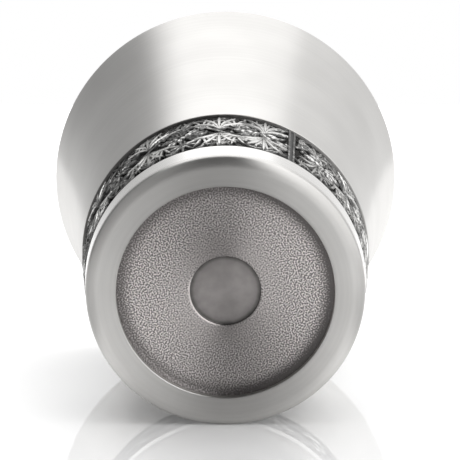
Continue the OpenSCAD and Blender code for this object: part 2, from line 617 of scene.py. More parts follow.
def new_material(name: str) -> tuple[bpy.types.Material, Shader]:
    """Makes an empty material.

    Args:
        name: Name of the material.

    Returns:
        The material and the builder of its nodes.
    """
    material = bpy.data.materials.new(name)
    material.use_nodes = True
    return material, Shader(material.node_tree)


@dataclass(frozen=True)
class SatinPewter:
    """Pewter turned on a lathe: fine grooves round the axis that draw light out across them."""

    name: str = "satin_pewter"
    bright: Tone = (0.66, 0.651, 0.635, 1)
    dull: Tone = (0.58, 0.571, 0.556, 1)
    patina_and_shade: Tone = (0.17, 0.167, 0.163, 1)
    roughness: float = 0.26
    uneven: float = 0.08
    anisotropy: float = 0.9
    grooves: float = 9000.0
    groove_depth: float = 0.003 * MM
    groove_strength: float = 0.5
    groove_drift: float = 0.004
    streaks: float = 1400.0
    streak_share: float = 0.4
    clouds: float = 55.0
    contrast: Point = (0.3, 0.7)
    dark_below: float = -1.0
    dark_beyond: float = 1.0
    dark_fade: float = 0.1 * MM
    painted_light: float = 0.65
    painted_light_span: Point = (-14 * MM, 16 * MM)
    polish: float = 0.14
    polished_beyond: float = 1.0
    polished_fade: float = 0.3 * MM
    polished_span: Point = (1.2 * MM, 2.4 * MM)

    def make(self) -> bpy.types.Material:
        """Builds the material, with a dark tarnish, partly painted shade, and a polished strip where
        they are asked for.

        Returns:
            The material.
        """
        material, shader = new_material(self.name)
        x, y, z = shader.place()
        radius = (x * x + y * y).root()
        across = shader.vector(radius, z, x * self.groove_drift + y * self.groove_drift)
        grooves = shader.noise(self.grooves, 2.0, across)
        streaks = shader.noise(self.streaks, 3.0, across)
        cloud = shader.noise(self.clouds, 2.0)
        wear_and_highlight = cloud * (1 - self.streak_share) + streaks * self.streak_share
        metal = shader.blend(wear_and_highlight.ramp(*self.contrast), self.dull, self.bright)
        # The ledge under the band's top is dark, from tarnish and painted shade in the step. Painted
        # light lightens it towards +X.
        low = 1.0 - z.ramp(self.dark_below, self.dark_below + self.dark_fade)
        outer = radius.ramp(self.dark_beyond, self.dark_beyond + self.dark_fade)
        dark = low * outer * (1.0 - self.painted_light * x.ramp(*self.painted_light_span))
        polished = radius.ramp(self.polished_beyond, self.polished_beyond + self.polished_fade)
        polished = polished * z.ramp(*self.polished_span)
        shader.finish(shader.skin({
            "Base Color": shader.blend(dark, metal, self.patina_and_shade),
            "Metallic": 1.0,
            "Roughness": streaks * self.uneven + self.roughness - polished * self.polish,
            "Anisotropic": self.anisotropy,
            "Anisotropic Rotation": ACROSS,
            "Normal": shader.bump(grooves, self.groove_depth, self.groove_strength),
        }))
        return material


@dataclass(frozen=True)
class SmoothRoundel:
    """The smooth cast surface of the disc's roundel, with painted shade darkening it towards its sunk
    edge.
    """

    edge: float
    bright: Tone = (0.43, 0.405, 0.399, 1)
    shade_and_grime: Tone = (0.13, 0.125, 0.12, 1)
    roughness: float = 0.4
    uneven: float = 0.05
    anisotropy: float = 0.4
    clouds: float = 500.0
    contrast: Point = (0.3, 0.7)
    cloud_grime: float = 0.2
    edge_shade: float = 0.85
    soft_share: float = 0.4
    soft_width: float = 2.2 * MM
    crisp_share: float = 0.6
    crisp_span: Point = (0.9 * MM, 0.1 * MM)

    def make(self, shader: Shader, radius: Wire) -> bpy.types.NodeSocket:
        """Adds the surface to the disc's material.

        Args:
            shader: Builder of the disc's material.
            radius: Distance from the axis.

        Returns:
            The surface.
        """
        # Painted shade: a soft and a crisp dark ring inside the roundel's edge. The clouds add random
        # dark tone.
        crisp_from, crisp_to = (self.edge - width for width in self.crisp_span)
        soft = self.soft_share * radius.ramp(self.edge - self.soft_width, self.edge)
        rim = soft + self.crisp_share * radius.ramp(crisp_from, crisp_to)
        cloud = shader.noise(self.clouds, 3.0).ramp(*self.contrast)
        shade_and_grime = rim * self.edge_shade + cloud * self.cloud_grime
        return shader.skin({
            "Base Color": shader.blend(shade_and_grime, self.bright, self.shade_and_grime),
            "Metallic": 1.0,
            "Roughness": self.roughness + self.uneven * cloud,
            "Anisotropic": self.anisotropy,
            "Anisotropic Rotation": ACROSS,
        })


@dataclass(frozen=True)
class PebbledPewter:
    """The cast face of the disc, covered in fine pebbles, with a smooth roundel in its middle, painted
    shade near the recess wall and painted highlights on its +X and -X sides and round the roundel.
    """

    sizes: TumblerSizes
    name: str = "pebbled_pewter"
    high: Tone = (0.91, 0.855, 0.843, 1)
    low: Tone = (0.21, 0.197, 0.194, 1)
    tone: float = 0.4
    side_highlight: float = 0.06
    roughness: float = 0.38
    wall_shade_roughness: float = 0.1
    anisotropy: float = 0.9
    patches: float = 1600.0
    pebbles: float = 1.3
    contrast: Point = (0.22, 0.78)
    pebble_height: float = 0.03 * MM
    pebble_strength: float = 0.9
    shallow: float = 0.45
    deep_beyond: float = 15 * MM
    side_highlight_grain: float = 0.7
    wall_gap: float = 0.3 * MM
    shade_and_grime: float = 0.75
    side_wall_shade: float = 0.2
    wall_shade_fill: float = 0.55
    wall_shade_width: float = 3.0 * MM
    wall_shade_shift: float = 0.1 * MM
    shadow: float = 0.3
    shadow_width: float = 1.4 * MM
    shadow_span: Point = (-5 * MM, 14 * MM)
    wear_and_highlight: float = 0.8
    rim_shade: float = 0.1
    highlight_side: Point = (0.87, 0.5)
    wear_and_highlight_span: Point = (3.2 * MM, 5.8 * MM)
    cast_edge: float = 0.05 * MM

    def rim_highlight(self, x: Wire, y: Wire, radius: Wire) -> Wire:
        """Finds the painted highlight on the edge round the roundel, brightest towards -X and +Y and a
        little dark on the far side.

        Args:
            x: First coordinate of the point.
            y: Second coordinate of the point.
            radius: Distance from the axis.

        Returns:
            What the painted highlight adds to the shade.
        """
        edge, bevel = self.sizes.roundel_radius, self.sizes.roundel_edge
        rim = 1.0 - radius.ramp(edge + bevel, edge + 2 * bevel)
        side = y * self.highlight_side[1] - x * self.highlight_side[0]
        return rim * (self.wear_and_highlight * side.ramp(*self.wear_and_highlight_span) - self.rim_shade)

    def make(self) -> bpy.types.Material:
        """Builds the material.

        Returns:
            The material.
        """
        material, shader = new_material(self.name)
        x, y, _ = shader.place()
        radius = (x * x + y * y).root()
        edge = self.sizes.roundel_radius
        wall = self.sizes.recess_radius - self.wall_gap
        pebble = shader.ripples(self.patches, self.pebbles).ramp(*self.contrast)
        # Painted shade: a dark ring inside the recess wall, set a little towards +X and deeper on the +X
        # and -X sides. Its pebbles are calmer and rougher.
        aside = x + self.wall_shade_shift
        shade_and_grime = (aside * aside + y * y).root().ramp(wall - self.wall_shade_width, wall)
        # Painted highlight: the disc is lighter, and its pebbles show stronger, on its +X and -X sides,
        # where the turned face catches the light.
        sideways = x * x / (x * x + y * y)
        depth = self.shallow + (1 - self.shallow) * radius.ramp(edge, self.deep_beyond)
        depth = depth * (1.0 + self.side_highlight_grain * sideways)
        grain = (pebble - 0.5) * depth * (1.0 - self.wall_shade_fill * shade_and_grime)
        # Painted shadow cast by the recess wall on the +X side.
        shadow = self.shadow * radius.ramp(wall - self.shadow_width, wall) * x.ramp(*self.shadow_span)
        unshaded = 1.0 - (self.shade_and_grime + self.side_wall_shade * sideways) * shade_and_grime
        shade = (self.tone + self.side_highlight * sideways) * unshaded + grain - shadow
        cast = shader.skin({
            # The edge round the roundel gets a painted highlight.
            "Base Color": shader.blend(shade + self.rim_highlight(x, y, radius), self.low, self.high),
            "Metallic": 1.0,
            "Roughness": self.roughness + self.wall_shade_roughness * shade_and_grime,
            "Anisotropic": self.anisotropy,
            "Anisotropic Rotation": ACROSS,
            "Normal": shader.bump(pebble * depth, self.pebble_height, self.pebble_strength),
        })
        roundel = SmoothRoundel(edge).make(shader, radius)
        shader.finish(shader.divide(radius.ramp(edge, edge + self.cast_edge), roundel, cast))
        return material


@dataclass(frozen=True)
class DarkRelief:
    """Cast pewter blackened in its hollows and polished bright by wear on its raised parts; painted
    light makes it lighter towards +X.
    """

    sizes: TumblerSizes
    name: str = "dark_relief"
    hollow: Tone = (0.06, 0.0595, 0.0585, 1)
    middle: Tone = (0.26, 0.2585, 0.255, 1)
    high: Tone = (0.82, 0.815, 0.8, 1)
    edge_tint: Tone = (0.2, 0.2, 0.2, 1)
    roughness: float = 0.55
    smoothed: float = 0.27
    strokes: float = 1700.0
    stroke_stretch: float = 0.45
    stroke_depth: float = 0.15 * MM
    stroke_strength: float = 0.5
    mottled: float = 0.75
    mottled_span: Point = (0.0, 0.5)
    side_light: float = 0.24
    side_span: Point = (-20 * MM, 6 * MM)
    top_dark: float = 0.15
    top_span: Point = (9 * MM, 16 * MM)
    light_offset: float = 0.05
    light_share: float = 0.7
    wear_and_highlight_span: Point = (0.7, 1.02)
    grey_span: Point = (0.1, 0.7)

    def make(self) -> bpy.types.Material:
        """Builds the material, coloured by height above the band's ground.

        Returns:
            The material.
        """
        material, shader = new_material(self.name)
        x, y, z = shader.place()
        ground = self.sizes.band(0.0, self.sizes.relief_height)
        height = (x * x + y * y).root() - (z * self.sizes.band_slope + ground)
        level = height / self.sizes.relief_height
        along = y.angle_with(x) * self.sizes.band(self.sizes.foot_height)
        at = shader.vector(along, z * self.stroke_stretch, height)
        strokes = shader.noise(self.strokes, 1.0, at)
        mottle = (strokes - 0.5) * level.ramp(*self.mottled_span)
        # Painted light: lighter towards +X. The band is also darker from a little above its lower edge
        # upwards, and a little darker all over.
        painted_light = self.side_light * x.ramp(*self.side_span) - self.top_dark * z.ramp(*self.top_span)
        painted_light = painted_light - self.light_offset
        shown = level + mottle * self.mottled + painted_light * self.light_share
        wear_and_highlight = shown.ramp(*self.wear_and_highlight_span)
        base = shader.blend((shown + painted_light).ramp(*self.grey_span), self.hollow, self.middle)
        shader.finish(shader.skin({
            "Base Color": shader.blend(wear_and_highlight, base, self.high),
            "Metallic": 1.0,
            "Roughness": self.roughness - self.smoothed * wear_and_highlight,
            "Specular Tint": self.edge_tint,
            "Normal": shader.bump(strokes, self.stroke_depth, self.stroke_strength),
        }))
        return material


@dataclass(frozen=True)
class DullSolder:
    """Solder as it set: greyer than the pewter and a little uneven."""

    name: str = "dull_solder"
    light: Tone = (0.3, 0.295, 0.29, 1)
    dark: Tone = (0.16, 0.157, 0.155, 1)
    roughness: float = 0.4
    uneven: float = 0.12
    lumps: float = 1300.0
    contrast: Point = (0.3, 0.7)
    lump_height: float = 0.04 * MM
    lump_strength: float = 0.5

    def make(self) -> bpy.types.Material:
        """Builds the material.

        Returns:
            The material.
        """
        material, shader = new_material(self.name)
        lumps = shader.noise(self.lumps, 3.0)
        shader.finish(shader.skin({
            "Base Color": shader.blend(lumps.ramp(*self.contrast), self.dark, self.light),
            "Metallic": 1.0,
            "Roughness": self.roughness + self.uneven * lumps,
            "Normal": shader.bump(lumps, self.lump_height, self.lump_strength),
        }))
        return material


@dataclass(frozen=True)
class WhiteFloor:
    """The glossy white floor, which glows as painted light. Painted shade dims it in a patch ahead of
    the tumbler, and at its sides in reflections only, where the room in front of the tumbler is dark.
    """

    name: str = "white_floor"
    white: Tone = (0.85, 0.85, 0.85, 1)
    grey: Tone = (0.22, 0.22, 0.22, 1)
    unlit: Tone = (0, 0, 0, 1)
    lit: Tone = (1, 1, 1, 1)
    roughness: float = 0.02
    ior: float = 1.45
    glow: float = 0.45
    undimmed_glow: float = 0.2
    far_glow: float = 0.7
    far_span: Point = (-50 * MM, 110 * MM)
    patch_ahead: float = 174 * MM
    patch_span: Point = (0.2 * 92 * MM, 1.3 * 92 * MM)
    patch_squeeze: float = 12.0
    patch_seen: float = 0.25
    wings: float = 0.6
    wings_across: Point = (45 * MM, 85 * MM)
    wings_end: Point = (-130 * MM, -70 * MM)
    beside: float = 0.65
    beside_across: Point = (30 * MM, 50 * MM)
    beside_start: Point = (-165 * MM, -140 * MM)
    beside_end: Point = (-110 * MM, -80 * MM)

    @staticmethod
    def aside(x: Wire, span: Point) -> Wire:
        """Rises from 0 to 1 between two distances to either side of the middle."""
        return (x * x).ramp(span[0] ** 2, span[1] ** 2)

    def dimmed(self, shader: Shader, x: Wire, y: Wire) -> Wire:
        """Finds how far the floor is dimmed by painted shade.

        Args:
            shader: Builder of the floor's material.
            x: Distance across the floor.
            y: Distance along the floor, away from the camera.

        Returns:
            The dimming, 0 where the floor is white.
        """
        seen = shader.seen()
        ahead = y + self.patch_ahead
        across = x * x * (1.0 + self.patch_squeeze - self.patch_squeeze * seen)
        patch = 1.0 - (across + ahead * ahead).root().ramp(*self.patch_span)
        wings = self.aside(x, self.wings_across) * (1.0 - y.ramp(*self.wings_end))
        beside = self.aside(x, self.beside_across) * y.ramp(*self.beside_start)
        beside = beside * (1.0 - y.ramp(*self.beside_end)) * (1.0 - wings)
        sides = (wings * self.wings + beside * self.beside) * (1.0 - seen)
        return patch * (1.0 - (1 - self.patch_seen) * seen) + sides

    def make(self) -> bpy.types.Material:
        """Builds the material, clear from behind so that it hides nothing.

        Returns:
            The material.
        """
        material, shader = new_material(self.name)
        behind = shader.node("ShaderNodeNewGeometry").outputs["Backfacing"]
        x, y, _ = shader.place()
        dim = self.dimmed(shader, x, y)
        # Painted light: the floor glows, less where painted shade dims it and more further from the
        # camera.
        glow = self.undimmed_glow * (1.0 - dim) + self.far_glow * y.ramp(*self.far_span)
        face = shader.skin({
            "Base Color": shader.blend(dim, self.white, self.grey),
            "Roughness": self.roughness,
            "IOR": self.ior,
            "Emission Color": shader.blend(glow, self.unlit, self.lit),
            "Emission Strength": self.glow,
        })
        clear = shader.node("ShaderNodeBsdfTransparent").outputs[0]
        shader.finish(shader.divide(behind, face, clear))
        return material


def dress(piece: bpy.types.Object, material: bpy.types.Material) -> None:
    """Gives a piece one material all over."""
    piece.data.materials.clear()
    piece.data.materials.append(material)


def install(
    piece: bpy.types.Object, finish: bpy.types.Material, slot: str, *nodes: str
) -> None:
    """Dresses a new piece and puts it on the tumbler in place of solids.

    Args:
        piece: The finished piece.
        finish: Its material.
        slot: The record's material slot; not used.
        nodes: The solids that it stands for.
    """
    dress(piece, finish)
    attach(piece, BODY)
    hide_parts(*nodes)
    LOG.info("%s: %d faces", piece.name, len(piece.data.polygons))


@dataclass(frozen=True)
class CupWall:
    """The flared wall with its rounded lip."""

    sizes: TumblerSizes
    lathe: Lathe
    ledge_edge: float = 0.12 * MM
    flare_steps: int = 36
    lip_steps: int = 16

    def outline(self) -> list[Point]:
        """Lists the wall's section, from the skirt up the inside, over the lip and down the outside.

        Returns:
            The points of the section.
        """
        s = self.sizes
        skirt_end = s.socket_level + s.solder
        centre, inwards = s.lip
        lean = math.degrees(math.atan2(inwards.y, inwards.x))
        lip_out = centre - s.lip_radius * inwards
        lip_in = centre + s.lip_radius * inwards
        points = [(s.skirt_radius, skirt_end)]
        points += [(s.inside(z), z) for z in spread(s.dish_top, lip_in.y, self.flare_steps)][:-1]
        points += round_off(centre, s.lip_radius, lean, lean - 180, self.lip_steps)
        outside = spread(lip_out.y, s.band_top + self.ledge_edge, self.flare_steps)
        points += [(s.skin(z), z) for z in outside[1:]]
        points += [(s.skin(s.band_top) - self.ledge_edge, s.band_top)]
        points += [(s.band(z, s.seat_depth), z) for z in (s.band_top, skirt_end)]
        return [*points, points[0]]

    def build(self, finish: bpy.types.Material) -> None:
        """Turns the wall and puts it on."""
        wall = self.lathe.turn("turned_cup_wall", self.outline())
        install(wall, finish, "pewter", "cup_wall")


@dataclass(frozen=True)
class Foot:
    """The broad foot, with its socket for the wall and the dished drinking floor."""

    sizes: TumblerSizes
    lathe: Lathe
    shoulder_edge: float = 0.12 * MM
    recess_steps: int = 3
    recess_edge_steps: int = 6
    face_steps: int = 4
    roll_steps: int = 10
    side_steps: int = 6
    fillet_steps: int = 12
    floor_steps: int = 6

    def underside(self) -> list[Point]:
        """Lists the section from the axis out over the recess and the foot's face to the shoulder.

        Returns:
            The points of that part of the section.
        """
        s = self.sizes
        edge_at = s.foot_edge_centre
        lean = math.degrees(math.atan2(s.flare[1].y - edge_at.y, s.flare[1].x - edge_at.x))
        roll_span = (s.face_roll - s.foot_edge) * math.sin(math.radians(s.face_roll_angle))
        roll_at = (edge_at.x - roll_span, s.face_roll)
        lip_at = (s.recess_radius + s.recess_edge, s.recess_edge)
        roll_end = 270 + s.face_roll_angle
        points = [(r, s.floor_under) for r in spread(0, s.recess_radius, self.recess_steps)]
        points += round_off(lip_at, s.recess_edge, 180, 270, self.recess_edge_steps)
        points += [(r, 0.0) for r in spread(lip_at[0], roll_at[0], self.face_steps)][1:-1]
        points += round_off(roll_at, s.face_roll, 270, roll_end, self.roll_steps)
        points += round_off(edge_at, s.foot_edge, roll_end, 360 + lean, self.roll_steps)[1:]
        side = spread(points[-1][1], s.foot_height - self.shoulder_edge, self.side_steps)
        points += [(s.skin(z), z) for z in side[1:]]
        return [*points, (s.skin(s.foot_height) - self.shoulder_edge, s.foot_height)]

    def outline(self) -> list[Point]:
        """Lists the whole section, from the axis below to the axis above.

        Returns:
            The points of the section.
        """
        s = self.sizes
        film = s.seat_depth - s.solder
        hollow = s.spigot_radius - s.floor_fillet - (s.skirt_wall - s.solder) / 2
        points = self.underside()
        points += [(s.band(z, film), z) for z in (s.foot_height, s.socket_level)]
        points += [(s.spigot_radius, s.socket_level), (s.spigot_radius, s.dish_top)]
        points += round_off((hollow, s.dish_top), s.floor_fillet, 0, -90, self.fillet_steps)
        return points + [(r, s.floor_level) for r in spread(hollow, 0, self.floor_steps)][1:]

    def build(self, finish: bpy.types.Material) -> None:
        """Turns the foot and puts it on."""
        foot = self.lathe.turn("turned_foot", self.outline())
        install(foot, finish, "pewter", "foot")


@dataclass(frozen=True)
class BaseDisc:
    """The pebbled disc in the foot's recess, with the solder round its edge."""

    sizes: TumblerSizes
    lathe: Lathe
    roundel_fillet: float = 0.25 * MM
    roundel_steps: int = 4
    edge_steps: int = 5
    face_steps: int = 8
    fillet_steps: int = 8

    def disc_outline(self) -> list[Point]:
        """Lists the disc's section from the roundel's middle outwards and back over its top.

        Returns:
            The points of the section.
        """
        s = self.sizes
        face = s.recess_depth
        sunk = face + s.roundel_depth
        edge_at = (s.roundel_radius + s.roundel_edge, face + s.roundel_edge)
        fillet_at = (s.roundel_radius - self.roundel_fillet, sunk - self.roundel_fillet)
        rim = s.recess_radius - s.solder
        points = [(r, sunk) for r in spread(0, fillet_at[0], self.roundel_steps)][:-1]
        points += round_off(fillet_at, self.roundel_fillet, 90, 0, self.edge_steps)
        points += round_off(edge_at, s.roundel_edge, 180, 270, self.edge_steps)
        points += [(r, face) for r in spread(edge_at[0], rim, self.face_steps)][1:]
        return [*points, (rim, s.disc_top), (0.0, s.disc_top)]

    def solder_outline(self) -> list[Point]:
        """Lists the section of the solder behind the disc and of its fillet against the recess.

        Returns:
            The points of the section.
        """
        s = self.sizes
        rim = s.recess_radius - s.solder
        fillet_at = (s.recess_radius - s.solder_fillet, s.recess_depth - s.solder_fillet)
        points = [(0.0, s.disc_top), (rim, s.disc_top), (rim, s.recess_depth)]
        points += round_off(fillet_at, s.solder_fillet, 90, 0, self.fillet_steps)
        return [*points, (s.recess_radius, s.floor_under), (0.0, s.floor_under)]

    def build(self, finish: bpy.types.Material) -> None:
        """Turns the disc and its solder and puts them on, both pebbled alike.

        Args:
            finish: Material of the disc and of the fillet of solder round it.
        """
        disc = self.lathe.turn("pebbled_disc", self.disc_outline())
        install(disc, finish, "cast_pewter", "base_disc")
        solder = self.lathe.turn("disc_solder_fillet", self.solder_outline())
        install(solder, finish, "solder", "disc_solder")


class StemSide(Enum):
    """Whether the running stem passes over or under a cell's rosette."""

    OVER = 1
    UNDER = -1


@dataclass(frozen=True)
class Leaf:
    """A leaf or petal of the relief: its size, how it is crowned and how it bends."""

    length: float
    width: float
    height: float
    broadest: float = 0.4
    bend: float = 0.0
    cross: tuple[float, ...] = (0.4, 1.0, 0.7, 1.0, 0.4)
    rows: int = 6
    curl: float = 0.0
    near: float = 0.01
    flat: float = 1e-9

    def half_width(self, u: float) -> float:
        """Gives the half width at a share u of the length, with a blunt tip."""
        power = math.log(0.5) / math.log(self.broadest)
        return self.width / 2 * max(math.sin(math.pi * u**power), 0.06) ** 0.8

    @staticmethod
    def crown(u: float) -> float:
        """Gives the share of the height at a share u of the length."""
        return 0.4 + 0.6 * math.sin(math.pi * min(0.85 * u + 0.08, 1.0))

    def build(self, name: str) -> bpy.types.Object:
        """Models the leaf along +X from the origin, with its face towards +Z.

        Args:
            name: Name of the pattern piece.

        Returns:
            The closed leaf.
        """
        Bench.clear()
        columns = len(self.cross) - 1
        bpy.ops.mesh.primitive_grid_add(x_subdivisions=self.rows, y_subdivisions=columns, size=2)
        leaf = Bench.name(bpy.context.active_object, name)
        for column, share in enumerate(self.cross):
            side = -1 + 2 * column / columns
            Bench.edit(leaf, lambda co, y=side: abs(co.y - y) < self.near and abs(co.z) < self.flat)
            bpy.ops.transform.translate(value=(0, 0, share * self.height))
        for row in range(self.rows + 1):
            u = row / self.rows
            place = -1 + 2 * u
            Bench.edit(leaf, lambda co, x=place: abs(co.x - x) < self.near)
            squeeze = (1, self.half_width(u), self.crown(u))
            bpy.ops.transform.resize(value=squeeze, center_override=(place, 0, 0))
            bpy.ops.transform.translate(value=(0, self.bend * (u * u - u) + self.curl * u**3, 0))
        Bench.edit(leaf)
        bpy.ops.transform.translate(value=(1, 0, 0))
        bpy.ops.transform.resize(value=(self.length / 2, 1, 1), center_override=(0, 0, 0))
        bpy.ops.mesh.region_to_loop()
        bpy.ops.mesh.extrude_edges_move(TRANSFORM_OT_translate={"value": (0, 0, -self.height)})
        bpy.ops.mesh.edge_face_add()
        return Bench.close(leaf, LEAF_CREASE)


@dataclass(frozen=True)
class Sprig:
    """Where a leaf or berry goes in a cell: its place and lift in millimetres, turn in degrees, size."""

    pattern: str
    x: float
    y: float
    turn: float = 0.0
    size: float = 1.0
    lift: float = 0.0


@dataclass
class ReliefBand:
    """The strip bent round the lower body, with its running stem, rosettes, leaves and berries."""

    sizes: TumblerSizes
    lathe: Lathe
    rosette_at: float = -0.6 * MM
    stem_swing: float = 5.0 * MM
    stem_radius: float = 0.36 * MM
    stem_lift: float = 0.16 * MM
    stem_steps: int = 24
    petals: int = 8
    small_petals: int = 5
    leaf_count: int = 5
    leaf_splay: float = 58.0
    under_rows: int = 8
    under_columns: int = 5
    low_margin: float = 0.4 * MM
    high_margin: float = 0.6 * MM
    rib_width: float = 0.4 * MM
    rib_depth: float = 0.2 * MM
    rib_edge: float = 0.1 * MM
    ground_edge: float = 0.02 * MM
    seed: int = 5
    patterns: dict[str, bpy.types.Object] = field(default_factory=dict)

    @property
    def cell_angle(self) -> float:
        """Angle that one motif takes of the band."""
        return math.tau / self.sizes.motif_count

    @property
    def middle(self) -> float:
        """Height of the middle of the band."""
        return self.sizes.foot_height + self.sizes.band_height / 2

    @property
    def cell_width(self) -> float:
        """Length of one motif along the middle of the band."""
        return self.cell_angle * self.sizes.band(self.middle)

    def on_band(self, x: float, y: float, turn: float, size: float, lift: float) -> Matrix:
        """Finds the place of a small piece that lies on the band's ground.

        Args:
            x: Distance along the band from the middle of the cell, which faces +X.
            y: Distance up from the middle of the band.
            turn: Turn of the piece in the band's surface, in degrees.
            size: Scale of the piece.
            lift: Distance out from the ground.

        Returns:
            The matrix that takes the piece there.
        """
        s = self.sizes
        angle = x / s.band(self.middle)
        z = self.middle + y
        lean = math.atan(s.band_slope)
        level = math.cos(lean)
        out = Vector((math.cos(angle) * level, math.sin(angle) * level, -math.sin(lean)))
        along = Vector((-math.sin(angle), math.cos(angle), 0))
        up = out.cross(along)
        radius = s.band(z, s.relief_height - lift)
        place = Matrix.Translation((radius * math.cos(angle), radius * math.sin(angle), z))
        axes = Matrix((along, up, out)).transposed().to_4x4()
        return place @ axes @ Matrix.Rotation(math.radians(turn), 4, "Z") @ Matrix.Scale(size, 4)

    def mirrored(self, name: str) -> bpy.types.Object:
        """Makes the mirror image of a leaf, which bends the other way.

        Args:
            name: Name of the leaf's pattern piece.

        Returns:
            The mirror image, which is kept as a pattern piece too.
        """
        twin = Bench.copy(self.patterns[name], Matrix.Scale(-1, 4, (0, 1, 0)))
        self.patterns[f"turned_{name}"] = Bench.close(Bench.settle(twin), LEAF_CREASE)
        return self.patterns[f"turned_{name}"]

    @staticmethod
    def leaves() -> dict[str, Leaf]:
        """Lists the sizes of the leaves and petals.

        Returns:
            Each leaf by its name.
        """
        ridge = {"cross": (0.1, 0.95, 1.0, 0.95, 0.1), "rows": 5}
        blade = {"width": 0.9 * MM, "broadest": 0.62, **ridge}
        frond = {"broadest": 0.5, "cross": (0.15, 1.0, 0.3, 0.97, 0.3, 1.0, 0.15)}
        petal = {"broadest": 0.66, "cross": (0.15, 1.0, 0.35, 1.0, 0.15)}
        small = {"broadest": 0.6, "cross": (0.2, 1.0, 0.5, 1.0, 0.2)}
        tendril = {"broadest": 0.5, "bend": 2.2 * MM, "curl": 0.8 * MM, **ridge}
        return {
            "leaf": Leaf(3.6 * MM, 2.0 * MM, 0.52 * MM, cross=(0.2, 1.0, 0.35, 1.0, 0.2)),
            "blade": Leaf(6.6 * MM, height=0.58 * MM, **blade),
            "side_blade": Leaf(5.8 * MM, height=0.58 * MM, bend=0.6 * MM, curl=1.0 * MM, **blade),
            "low_blade": Leaf(4.4 * MM, height=0.56 * MM, bend=0.9 * MM, curl=1.6 * MM, **blade),
            "frond": Leaf(5.2 * MM, 1.8 * MM, 0.58 * MM, bend=2.0 * MM, curl=1.2 * MM, **frond),
            "tendril": Leaf(3.4 * MM, 0.85 * MM, 0.5 * MM, **tendril),
            "petal": Leaf(3.4 * MM, 1.9 * MM, 0.56 * MM, **petal),
            "small_petal": Leaf(1.9 * MM, 1.3 * MM, 0.46 * MM, **small),
        }

    def make_patterns(self) -> None:
        """Models each leaf, petal, palmette, heart and berry once."""
        self.patterns = {name: leaf.build(name) for name, leaf in self.leaves().items()}
        self.mirrored("frond")
        self.mirrored("tendril")
        blades = [Bench.copy(self.patterns["blade"], Matrix())]
        for name, turn in (("side_blade", 16), ("low_blade", 35)):
            lean = Matrix.Rotation(math.radians(turn), 4, "Z")
            blades.append(Bench.copy(self.patterns[name], lean))
            blades.append(Bench.copy(self.mirrored(name), lean.inverted()))
        self.patterns["palmette"] = Bench.close(Bench.join(blades, "palmette"), LEAF_CREASE)
        for name, radius, flat in (("berry", 0.55 * MM, 0.9), ("heart", 0.95 * MM, 0.55)):
            Bench.clear()
            bpy.ops.mesh.primitive_uv_sphere_add(segments=10, ring_count=6, radius=radius)
            Bench.edit(bpy.context.active_object)
            bpy.ops.transform.resize(value=(1, 1, flat))
            self.patterns[name] = Bench.close(Bench.name(bpy.context.active_object, name), STEM_CREASE)

    def rosette(self) -> list[Sprig]:
        """Lists the petals and the heart of one rosette.

        Returns:
            Their places.
        """
        middle = self.rosette_at / MM
        sprigs = []
        rings = (("petal", self.petals, 0.9, 0.0), ("small_petal", self.small_petals, 0.45, 0.16))
        for ring, (name, count, reach, lift) in enumerate(rings):
            for i in range(count):
                turn = 360 * (i + 0.5 * ring) / count
                x = reach * math.cos(math.radians(turn))
                y = reach * math.sin(math.radians(turn))
                sprigs.append(Sprig(name, x, y + middle, turn, lift=lift))
        return [*sprigs, Sprig("heart", 0, middle, size=0.9, lift=0.12)]

    def stem_height(self, x: float) -> float:
        """Gives the height of the stem above the band's middle, where it passes over the rosette."""
        return self.stem_swing * math.cos(math.pi * x / self.cell_width)

    def stem_leaves(self) -> list[Sprig]:
        """Lists the leaves along the stem, by turns above and below it, with berries between them.

        Returns:
            Their places.
        """
        sprigs = []
        for i in range(self.leaf_count):
            x = self.cell_width * ((i + 0.5) / self.leaf_count - 0.5)
            y = self.stem_height(x)
            rise = math.degrees(math.atan2(self.stem_height(x + MM) - y, MM))
            above = 1 if i % 2 == 0 else -1
            turn = rise + above * self.leaf_splay
            sprigs.append(Sprig("leaf", x / MM, y / MM, turn, size=0.85, lift=0.08))
            sprigs.append(Sprig("berry", x / MM + 0.9, y / MM - above, size=0.8, lift=0.12))
        return sprigs

    def palmettes(self) -> list[Sprig]:
        """Lists the palmettes that spring from the stem, and the fronds between them.

        Returns:
            Their places.
        """
        end = self.cell_width / 2 / MM
        heart = self.rosette_at / MM
        sprigs = []
        for heading in (1, -1):
            up = 90 * heading
            sprigs.append(Sprig("palmette", end, heading * 1.0, up, size=1.2, lift=0.04))
            sprigs.append(Sprig("palmette", 0, heart + heading * 3.2, up, size=0.85))
            for across in (-1, 1):
                tilt = up - 10 * across * heading
                sprigs.append(Sprig("palmette", across * 3.7, heading * 1.8, tilt, lift=0.02))
                name = "frond" if across * heading > 0 else "turned_frond"
                sprigs.append(Sprig(name, across * 5.4, heading * 3.6, tilt))
        return sprigs

    def undergrowth(self) -> list[Sprig]:
        """Scatters low leaves over the ground between the other pieces.

        Returns:
            Their places, the same on each call.
        """
        chance = random.Random(self.seed)
        sprigs = []
        for row in range(self.under_rows):
            for column in range(self.under_columns):
                x = self.cell_width * ((column + 0.25 + 0.5 * (row % 2)) / self.under_columns - 0.5)
                y = self.sizes.band_height * ((row + 0.5) / self.under_rows - 0.5)
                name = chance.choice(("tendril", "turned_tendril"))
                sprigs.append(Sprig(name, x / MM, y / MM, chance.uniform(0, 360), lift=-0.06))
        return sprigs

